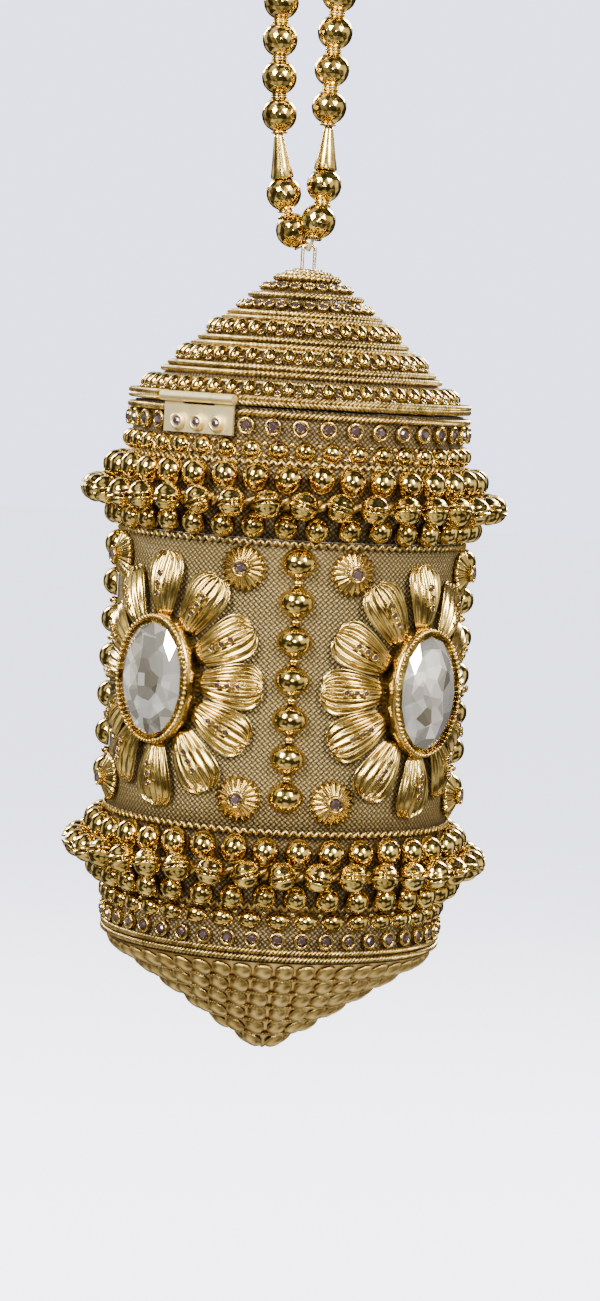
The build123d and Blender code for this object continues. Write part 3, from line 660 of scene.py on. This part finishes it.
# %% Strips of oval beads on the lid
oval = ball(0.0029, 0.0043, 0.0026)
oval_places = []
small_places = []
edging = []
for slant, count in ((0.0047, 50), (0.0149, 40), (0.0238, 31)):
    radius, z = lid_place(slant, 0.0009)
    oval_places += ring(radius, z, count, lid_lean)
    radius, z = lid_place(slant - 0.0017, 0.0001)
    small_places += ring(radius, z, count, lid_lean, math.pi / count)
    radius, z = lid_place(slant + 0.0019, 0.0004)
    edging += twist_ring(radius, z, 0.0009, lid_lean)
groups = [(oval, oval_places, bead_gold), (twist(0.0009), edging, cord_gold)]
groups += ringed(small_places, 0.0017, 0.0010, 0.0009)
piece("lid_oval_beads", groups, "lid", ["lid_bead_strips"])

# %% [markdown]
# Small round beads are strung along the collar and above the base. Only the
# front of each shows, so each is a dome, flat at the back where it lies on the cloth.

# %% Small bead rows
dome_mesh = dome(0.0046, 0.0044, 0.0021)
seed = ball(0.0011, 0.0011, 0.0011, 8, 6)
collar_z = middle("collar_bead_strip")
collar_places = ring(skin_radius, collar_z, 40)
seeds = ring(skin_radius + 0.0005, collar_z + 0.0014, 40, start=math.pi / 40)
seeds += ring(skin_radius + 0.0005, collar_z - 0.0014, 40, start=math.pi / 40)
piece("collar_beads", [(dome_mesh, collar_places, bead_gold), (seed, seeds, plate_gold)], "body",
      ["collar_bead_strip"])
lower_z = middle("lower_bead_strip")
lower_places = ring(skin_radius, lower_z, 38)
seeds = ring(skin_radius + 0.0005, lower_z + 0.0015, 38, start=math.pi / 38)
piece("lower_beads", [(dome(0.0054, 0.0043, 0.0021), lower_places, bead_gold),
                      (seed, seeds, plate_gold)], "body", ["lower_bead_strip"])


# %% [markdown]
# The two wide trims are the same ribbon of beads, sewn one above the seam of the panel and one
# below it. Each has a row of round beads, a proud row of little bells with a slit, and a row of
# drops, on a padded cord. A bell is a ball spun with a groove round its middle.

# %% Bead and bell trims
bell_size = 0.0063
bell_outline = half_round(bell_size / 2, 12)
groove = [(0.00310, 0.0008), (0.00325, 0.0006), (0.0032, 0.00035), (0.0021, 0.0003),
          (0.0021, -0.0003), (0.0032, -0.00035), (0.00325, -0.0006), (0.00310, -0.0008)]
bell_mesh = spun(bell_outline[:6] + groove + bell_outline[7:], 18)
bead_mesh = ball(0.0061, 0.0066, 0.0063, 18, 12)
drop_mesh = ball(0.0056, 0.0056, 0.0056, 16, 10)
shank_mesh = ball(0.0018, 0.0018, 0.0030, 8, 6)
trim_count = 36
random.seed(7)


def jostled(places):
    """The same places, each a little off and turned, as hand-sewn beads sit."""
    moved = []
    for grid in places:
        shift = (random.uniform(-0.0002, 0.0002), random.uniform(-0.0003, 0.0003), 0)
        turn = Matrix.Rotation(random.uniform(-0.6, 0.6), 4, "Z")
        moved.append(grid @ Matrix.Translation(shift) @ turn)
    return moved


for name in ("upper", "lower"):
    beads_z = middle(f"{name}_trim_beads")
    drops_z = middle(f"{name}_trim_drops")
    bells_z = middle(f"{name}_trim_bells")
    bead_radius = reach(f"{name}_trim_beads") - bell_size / 2
    drop_radius = reach(f"{name}_trim_drops") - 0.0027
    bell_radius = reach(f"{name}_trim_bells") - bell_size / 2
    half_step = math.pi / trim_count
    bells = []
    for grid in ring(bell_radius, bells_z, trim_count):
        rocking = Matrix.Rotation(math.pi / 2 + random.uniform(-0.3, 0.3), 4, "X")
        bells.append(grid @ Matrix.Rotation(random.uniform(-0.35, 0.35), 4, "Z") @ rocking)
    shanks = ring(bell_radius - 0.0036, bells_z, trim_count)
    piece(f"{name}_bells", [(bell_mesh, bells, bead_gold), (shank_mesh, shanks, plate_gold)],
          "body", [f"{name}_trim_bells"])
    rounds = jostled(ring(bead_radius, beads_z, trim_count, start=half_step))
    piece(f"{name}_round_beads", [(bead_mesh, rounds, bead_gold)], "body",
          [f"{name}_trim_beads"])
    drops = jostled(ring(drop_radius, drops_z, trim_count, start=half_step))
    piece(f"{name}_drop_beads", [(drop_mesh, drops, bead_gold)], "body",
          [f"{name}_trim_drops"])
    cord_radius = reach(f"{name}_trim_cord") - 0.002
    cord_z = middle(f"{name}_trim_cord")
    piece(f"{name}_padded_cord", [(twist(0.0032), twist_ring(cord_radius, cord_z, 0.0032),
                                   cord_gold)], "body", [f"{name}_trim_cord"])

# %% [markdown]
# The zigzag braid is a flat cord folded from side to side. Two slants of short bulges, laid in
# turn, make its points.

# %% Zigzag braids
zigzags = []
zig = ball(0.0007, 0.0019, 0.0007, 8, 6)
braid_rows = ((0.03735, -0.01185), (0.03880, -0.0289), (0.03880, -0.0913), (0.03735, -0.1078))
for radius, drop in braid_rows:
    count = 2 * round(TAU * radius / 0.0018)
    for i in range(count):
        sway = 0.65 if i % 2 else -0.65
        zigzags.append(on_skin(radius, TAU * i / count, seam + drop, 0, sway))
piece("zigzag_braid_rows", [(zig, zigzags, cord_gold)], "body", ["zigzag_braids"])

# %% [markdown]
# Four columns of flat-backed beads run down the panel, with a small spacer between each pair.

# %% Bead columns
panel_radius = 0.03845
top_bead = high("column_beads").z - 0.00325
column_mesh = dome(0.0077, 0.0066, 0.0033, 20, 14)
spacer_mesh = ball(0.0027, 0.0017, 0.0022, 10, 8)
column_count = 7
column_pitch = 0.00846
column_places = []
spacer_places = []
for column in range(4):
    turn = column * math.pi / 2
    for i in range(column_count):
        column_places.append(on_skin(panel_radius, turn, top_bead - column_pitch * i))
        if i < column_count - 1:
            spot = on_skin(panel_radius + 0.0006, turn, top_bead - column_pitch * (i + 0.5))
            spacer_places.append(spot)
piece("column_round_beads", [(column_mesh, column_places, bead_gold)], "body",
      ["column_beads"])
piece("column_spacer_beads", [(spacer_mesh, spacer_places, plate_gold)], "body",
      ["column_spacers"])


# %% [markdown]
# A petal is stamped from thin brass like a scallop shell: narrow at its root, round at its tip,
# crowned across, with ribs that fan out and a rolled rim. It starts as a flat grid, whose points
# move to that shape before the sheet is given its thickness.

# %% Petals
petal_length = 0.0139
petal_width = 0.0103
petal_root = 0.0046


def petal_half_width(share):
    widest = 0.74
    if share < widest:
        ease = share / widest
        return (petal_root + (petal_width - petal_root) * math.sin(ease * math.pi / 2)) / 2
    return petal_width / 2 * math.sqrt(max(0.0, 1 - ((share - widest) / (1 - widest)) ** 2))


def petal_rise(share):
    """Height of a petal's middle line, high at the cup and low at the tip."""
    return 0.0007 + 0.0017 * math.cos(share * math.pi / 2) + 0.0013 * math.sin(share * math.pi)


def petal():
    shape = bmesh.new()
    bmesh.ops.create_grid(shape, x_segments=40, y_segments=15, size=0.5)
    for vertex in shape.verts:
        across = vertex.co.x * 2
        share = math.sin((vertex.co.y + 0.5) * math.pi / 2) ** 1.15
        share = min(share, 0.995)
        half = petal_half_width(share)
        edge = min(1.0, max(abs(across) ** 8, max(0.0, (share - 0.9) / 0.095) ** 2))
        ribs = 0.00034 * math.cos(across * math.pi * 6) * min(1.0, share * 4) * (1 - edge)
        crown = 1 - across * across * 0.6
        vertex.co = (across * half, share * petal_length,
                     petal_rise(share) * crown + ribs + 0.00045 * edge)
    bmesh.ops.remove_doubles(shape, verts=shape.verts, dist=1e-6)
    bmesh.ops.recalc_face_normals(shape, faces=shape.faces)
    bmesh.ops.solidify(shape, geom=shape.faces[:], thickness=0.0004)
    return finish_shape(shape)


bezel_half = (0.01075, 0.01425)
flower_z = middle("flower_bezels")
half_petal = 0.0066
tuck_under = 0.0005
petal_places = []
petal_stones = []
for flower in range(4):
    flower_turn = math.pi / 4 + flower * math.pi / 2
    for i in range(12):
        angle = TAU * i / 12
        start = 1 / math.hypot(math.cos(angle) / (bezel_half[0] + 0.0002),
                               math.sin(angle) / (bezel_half[1] + 0.0002))
        centre = start + half_petal
        turn = flower_turn + centre * math.cos(angle) / panel_radius
        spot = on_skin(panel_radius, turn, flower_z + centre * math.sin(angle), 0,
                       angle - math.pi / 2)
        rooted = spot @ Matrix.Translation((0, -half_petal - tuck_under, 0.0001))
        petal_places.append(rooted)
        for along in (0.0046, 0.0068, 0.0090):
            share = along / petal_length
            rise = petal_rise(share) + 0.0002
            petal_stones.append(rooted @ Matrix.Translation((0, along, rise)))
piece("flower_shell_petals", [(petal(), petal_places, plate_gold)], "body",
      ["flower_petals"])
piece("petal_stones", ringed(petal_stones, 0.0016, 0.0010, 0.0005), "body")

# %% [markdown]
# The heart of each flower is an oval crystal in a cup. The cup's wall is a circle of points drawn
# out to an oval, bridged level by level, with a rim of tiny grains. A bright foil lines the cup.


# %% Oval cups
def oval_ring(shape, half, z, share=1.0, count=64):
    grid = Matrix.Translation((0, 0, z)) @ Matrix.Diagonal((half[0] * share, half[1] * share, 1, 1))
    made = bmesh.ops.create_circle(shape, cap_ends=False, segments=count, radius=1.0, matrix=grid)
    return sorted({e for v in made["verts"] for e in v.link_edges}, key=lambda e: e.index)


def bezel():
    shape = bmesh.new()
    levels = [(1.0, 0.0), (1.0, 0.0034), (0.985, 0.0040), (0.955, 0.0043), (0.92, 0.0043),
              (0.90, 0.0039), (0.85, 0.0036), (0.85, 0.0009)]
    loops = [oval_ring(shape, bezel_half, z, share) for share, z in levels]
    for lower_loop, upper_loop in zip(loops, loops[1:]):
        bmesh.ops.bridge_loops(shape, edges=lower_loop + upper_loop)
    bmesh.ops.edgeloop_fill(shape, edges=loops[0])
    bmesh.ops.edgeloop_fill(shape, edges=loops[-1])
    return finish_shape(shape)


cup_mesh = bezel()
print("faces in an oval cup:", len(cup_mesh.polygons))

# %% [markdown]
# A cut stone is a stack of ovals of points with flat faces between them. The convex hull finds
# those faces, which would be long to list by hand. The cup is then set with its foil and grains.


# %% Crystals in their cups
def hull_of(levels, half):
    """A cut stone: the hull of ovals of points, each given as (share, height, count, turn)."""
    shape = bmesh.new()
    for share, z, count, turn in levels:
        grid = Matrix.Translation((0, 0, z)) @ Matrix.Diagonal((half[0] * share,
                                                                half[1] * share, 1, 1))
        bmesh.ops.create_circle(shape, cap_ends=False, segments=count, radius=1.0,
                                matrix=grid @ Matrix.Rotation(turn, 4, "Z"))
    bmesh.ops.convex_hull(shape, input=shape.verts)
    loose = [v for v in shape.verts if not v.link_faces]
    bmesh.ops.delete(shape, geom=loose, context="VERTS")
    bmesh.ops.dissolve_limit(shape, angle_limit=0.01, verts=shape.verts, edges=shape.edges)
    return finish_shape(shape, smooth=False)


crystal_half = (0.0090, 0.0125)
crystal_mesh = hull_of([(0.93, 0.0030, 14, 0), (1.0, 0.0038, 14, 0), (1.0, 0.0042, 14, 0),
                        (0.80, 0.0056, 14, math.pi / 14), (0.55, 0.0064, 7, 0.2),
                        (0.24, 0.0068, 7, 0.65)], crystal_half)
foil_shape = bmesh.new()
rims = [oval_ring(foil_shape, crystal_half, z, share, 8)
        for share, z in ((0.97, 0.0029), (0.50, 0.0014), (0.06, 0.0009))]
for outer_loop, inner_loop in zip(rims, rims[1:]):
    bmesh.ops.bridge_loops(foil_shape, edges=outer_loop + inner_loop)
bmesh.ops.edgeloop_fill(foil_shape, edges=rims[-1])
bmesh.ops.triangulate(foil_shape, faces=foil_shape.faces[:])
foil_mesh = finish_shape(foil_shape, smooth=False)

flower_places = [on_skin(panel_radius, math.pi / 4 + i * math.pi / 2, flower_z) for i in range(4)]
grain_count = 76
grain_share = 0.955
grain_rise = 0.0043
grains = []
for grid in flower_places:
    for i in range(grain_count):
        angle = TAU * i / grain_count
        spot = (bezel_half[0] * grain_share * math.cos(angle),
                bezel_half[1] * grain_share * math.sin(angle), grain_rise)
        grains.append(grid @ Matrix.Translation(spot))
grain_mesh = ball(0.00098, 0.00098, 0.0011, 8, 6)
piece("flower_oval_cups", [(cup_mesh, flower_places, plate_gold), (grain_mesh, grains, plate_gold),
                           (foil_mesh, flower_places, foil)], "body",
      ["flower_bezels"])
piece("flower_oval_crystals", [(crystal_mesh, flower_places, crystal_glass)], "body",
      ["flower_crystals"])

# %% [markdown]
# A rosette is a stamped daisy with many narrow rays. Its outline is spun into a low dome, and the
# dome's points are pushed in and out by a cosine, which gives ridges that grow towards the edge.

# %% Rosettes
rays = 20
rosette_radius = 0.0049
rosette_shape = bmesh.new()
rosette_outline = [(0, 0.0028), (0.0014, 0.0027), (0.0022, 0.0024), (0.0031, 0.0019),
                   (0.0040, 0.0013), (rosette_radius, 0.0008), (0.0046, 0.0002), (0, 0.0002)]
points = [rosette_shape.verts.new((r, 0, z)) for r, z in rosette_outline]
edges = [rosette_shape.edges.new(pair) for pair in zip(points, points[1:])]
bmesh.ops.spin(rosette_shape, geom=points + edges, cent=(0, 0, 0), axis=(0, 0, 1), angle=TAU,
               steps=rays * 6, use_merge=True)
bmesh.ops.remove_doubles(rosette_shape, verts=rosette_shape.verts, dist=1e-7)
for vertex in rosette_shape.verts:
    share = vertex.co.xy.length / rosette_radius
    swing = math.cos(math.atan2(vertex.co.y, vertex.co.x) * rays)
    vertex.co.xy *= 1 + 0.06 * swing * share * share
    if vertex.co.z > 0.0004:
        vertex.co.z += 0.0003 * swing * share
rosette_mesh = finish_shape(rosette_shape)
rosette_places = []
for column in range(4):
    for offset, drop in ((17.5, 0.0346), (15.0, 0.0844)):
        for side in (-1, 1):
            turn = column * math.pi / 2 + side * math.radians(offset)
            rosette_places.append(on_skin(panel_radius, turn, seam - drop))
heart_places = [grid @ Matrix.Translation((0, 0, 0.0026)) for grid in rosette_places]
piece("rosette_daisies", [(rosette_mesh, rosette_places, plate_gold)]
      + ringed(heart_places, 0.0040, 0.0026, 0.0011), "body",
      ["rosettes", "rosette_stones"])

# %% [markdown]
# The pointed base is covered with rows of satin beads like scales, with thin cords between them.

# %% Satin beads of the base
cone_foot = high("bottom_cone").z
cone_radius = reach("bottom_cone")
cone_drop = cone_foot - low("bottom_cone").z
base_slope = math.atan2(cone_drop, cone_radius)


def base_place(slant, proud):
    """Radius and height at a distance down the base's slope."""
    radius = cone_radius - slant * math.cos(base_slope) + proud * math.sin(base_slope)
    return radius, cone_foot - slant * math.sin(base_slope) - proud * math.cos(base_slope)


first_row = 0.0038
row_pitch = 0.0072
scale_pitch = 0.00455
scale_places = []
base_cords = []
for row in range(6):
    slant = first_row + row_pitch * row
    radius, z = base_place(slant, 0.0002)
    count = int(TAU * (radius - 0.0006) / scale_pitch)
    scale_places += ring(radius, z, count, base_slope - math.pi / 2, math.pi / count)
    if row:
        radius, z = base_place(slant - row_pitch / 2, 0.0004)
        base_cords += twist_ring(radius, z, 0.0009, base_slope - math.pi / 2)
scale_mesh = dome(0.0043, 0.0062, 0.0014, 12, 8)
piece("base_satin_beads", [(scale_mesh, scale_places, satin_gold)], "body",
      ["cone_bead_strips"])
piece("base_thin_cords", [(twist(0.0009), base_cords, satin_gold)], "body",
      ["cone_cords"])


# %% [markdown]
# The cloth sleeves are stretched round the tube. Each is a thin wall spun from a short outline,
# rounded where the cloth turns over an edge. The panel's cloth swells a little over its wadding.

# %% Cloth sleeves
def sleeve(name, node, inner, outer, material, swell=0.0):
    bottom, top = low(node).z, high(node).z
    steps_up = 10
    outside = []
    for i in range(steps_up + 1):
        share = i / steps_up
        puff = swell * math.sin(math.pi * share)
        tuck = 0.00025 if i in (0, steps_up) else 0.0
        outside.append((outer + puff - tuck, bottom + (top - bottom) * share))
    outline = [(inner, bottom)] + outside + [(inner, top), (inner, bottom)]
    mesh = spun(outline, 96)
    made = piece(name, [(mesh, [Matrix.Identity(4)], material)], "body", [node])


sleeve("panel_mesh_cloth", "panel_cloth", 0.0379, 0.03835, panel_weave, 0.00005)
sleeve("collar_mesh_cloth", "collar_cloth", 0.03655, 0.0370, collar_weave)
sleeve("lower_mesh_cloth", "lower_cloth", 0.03655, 0.0370, collar_weave)

# %% [markdown]
# Inside, the purse is lined with satin, and a crowned pad lies on its floor.

# %% Lining and pad
lining_low, lining_high = low("body_lining").z, high("body_lining").z
lining_outline = [(0, lining_low), (0.0338, lining_low), (0.0344, lining_low + 0.0006),
                  (0.0344, lining_high), (0.0340, lining_high), (0.0336, lining_high),
                  (0.0336, lining_low + 0.0014), (0.0328, lining_low + 0.0008),
                  (0, lining_low + 0.0008)]
piece("body_satin_lining", [(spun(lining_outline, 72), [Matrix.Identity(4)], lining_satin)],
      "body", ["body_lining"])
pad_low, pad_high = low("base_pad").z, high("base_pad").z
pad_outline = [(0, pad_low), (0.0322, pad_low), (0.0333, pad_low + 0.0008),
               (0.0330, pad_low + 0.0018), (0.0310, pad_high - 0.0006), (0.0240, pad_high - 0.0001),
               (0.0120, pad_high), (0.0050, pad_high - 0.0002), (0.0012, pad_high - 0.0011),
               (0, pad_high - 0.0012)]
pad = piece("base_crowned_pad", [(spun(pad_outline, 72), [Matrix.Identity(4)], lining_satin)],
            "body", ["base_pad"])

# %% [markdown]
# What stays as the frame made it needs only its finish.

# %% Finishes of the frame's own parts
finishes = {
    "lid_shell": collar_weave, "lid_base_ring": card, "lid_lining": lining_satin,
    "lid_eye_wire": wire_brass, "lid_eye_washer": wire_brass, "lid_magnets": steel,
    "hinge_lid_leaf": hinge_brass, "hinge_lid_rivets": hinge_brass, "hinge_pin": hinge_brass,
    "hinge_body_leaf": hinge_brass, "body_tube": card, "body_rim_ring": card,
    "body_floor": card, "bottom_cone": satin_gold, "body_magnets": steel,
    "panel_padding": wadding,
}
for node, material in finishes.items():
    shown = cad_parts[node]
    shown.data.materials.clear()
    shown.data.materials.append(material)
print("finished nodes:", len(finishes))

# %% [markdown]
# The purse hangs above a pale floor. The floor glows a little, and it is left out of reflections
# and of the light on the purse, so that polished beads keep their dark sides.

# %% Floor
floor_z = low("bottom_cone").z - 0.16
floor_shape = bmesh.new()
bmesh.ops.create_grid(floor_shape, x_segments=1, y_segments=1, size=6.0)
bmesh.ops.translate(floor_shape, vec=(0, 0, floor_z), verts=floor_shape.verts)
floor_mesh = finish_shape(floor_shape)
floor_material, floor_shader, floor_where = new_material("floor_pale", Roughness=0.9)
floor_noise = floor_where.node("ShaderNodeTexNoise", (), [("Vector", floor_where), ("Scale", 2.0)])
pale = floor_noise.mix((0.76, 0.78, 0.92, 1), (0.80, 0.82, 0.97, 1))
join(floor_shader, "Base Color", pale)
join(floor_shader, "Emission Color", pale)
floor_shader.inputs["Emission Strength"].default_value = 2.7
floor_mesh.materials.append(floor_material)
floor = bpy.data.objects.new("floor", floor_mesh)
bpy.context.scene.collection.objects.link(floor)
floor.visible_glossy = False
floor.visible_diffuse = False
print("floor at", round(floor_z, 3))

# %% [markdown]
# The surround is pale to the eye. For reflections it is a soft drift of dim and bright patches,
# as in a room, because gold looks only as good as what it reflects.

# %% Surround
world = bpy.data.worlds.new("studio")
bpy.context.scene.world = world
world.use_nodes = True
air = world.node_tree
air.nodes.clear()
path = Wire(air, None).node("ShaderNodeLightPath", output="Is Camera Ray")
seen = path.node("ShaderNodeBackground", (), [("Color", (0.76, 0.785, 1.0, 1)), ("Strength", 3.3)])
sky = path.node("ShaderNodeTexCoord", output="Generated")
drift = sky.node("ShaderNodeTexNoise", (), [("Vector", sky), ("Scale", 1.7), ("Detail", 1.0)])
patch = drift.node("ShaderNodeMapRange", (), [("Value", drift), ("From Min", 0.45),
                                              ("From Max", 0.62), ("To Min", 0.05),
                                              ("To Max", 1.4)])
lit = path.node("ShaderNodeBackground", (), [("Color", (1.0, 0.95, 0.86, 1)), ("Strength", patch)])
blend = path.node("ShaderNodeMixShader", (), [(0, path), (1, lit), (2, seen)])
output = air.nodes.new("ShaderNodeOutputWorld")
air.links.new(blend.socket, output.inputs["Surface"])
print("surround nodes:", len(air.nodes))

# %% [markdown]
# Two soft windows in front give each bead its pair of highlights, a small lamp fills between
# them, and two more windows do the same from behind.


# %% Lamps
def lamp(name, spot, size, power, colour):
    data = bpy.data.lights.new(name, "AREA")
    data.shape = "RECTANGLE"
    data.size, data.size_y = size
    data.energy = power
    data.color = colour
    made = bpy.data.objects.new(name, data)
    made.location = Vector(spot)
    made.rotation_euler = (aim - Vector(spot)).to_track_quat("-Z", "Y").to_euler()
    bpy.context.scene.collection.objects.link(made)


lamp("window", (-0.60, -0.75, 0.40), (0.3, 0.5), 30.0, (1.0, 0.98, 0.94))
lamp("second_window", (0.55, -0.75, 0.42), (0.25, 0.45), 19.0, (1.0, 0.97, 0.92))
lamp("front", (0.0, -1.1, 0.0), (0.16, 0.16), 5.0, (1.0, 0.97, 0.92))
lamp("back", (0.55, 0.75, 0.40), (0.3, 0.5), 20.0, (1.0, 0.98, 0.94))
lamp("back_left", (-0.60, 0.75, 0.35), (0.25, 0.45), 15.0, (1.0, 0.97, 0.92))
print("lamps:", len(bpy.data.lights))
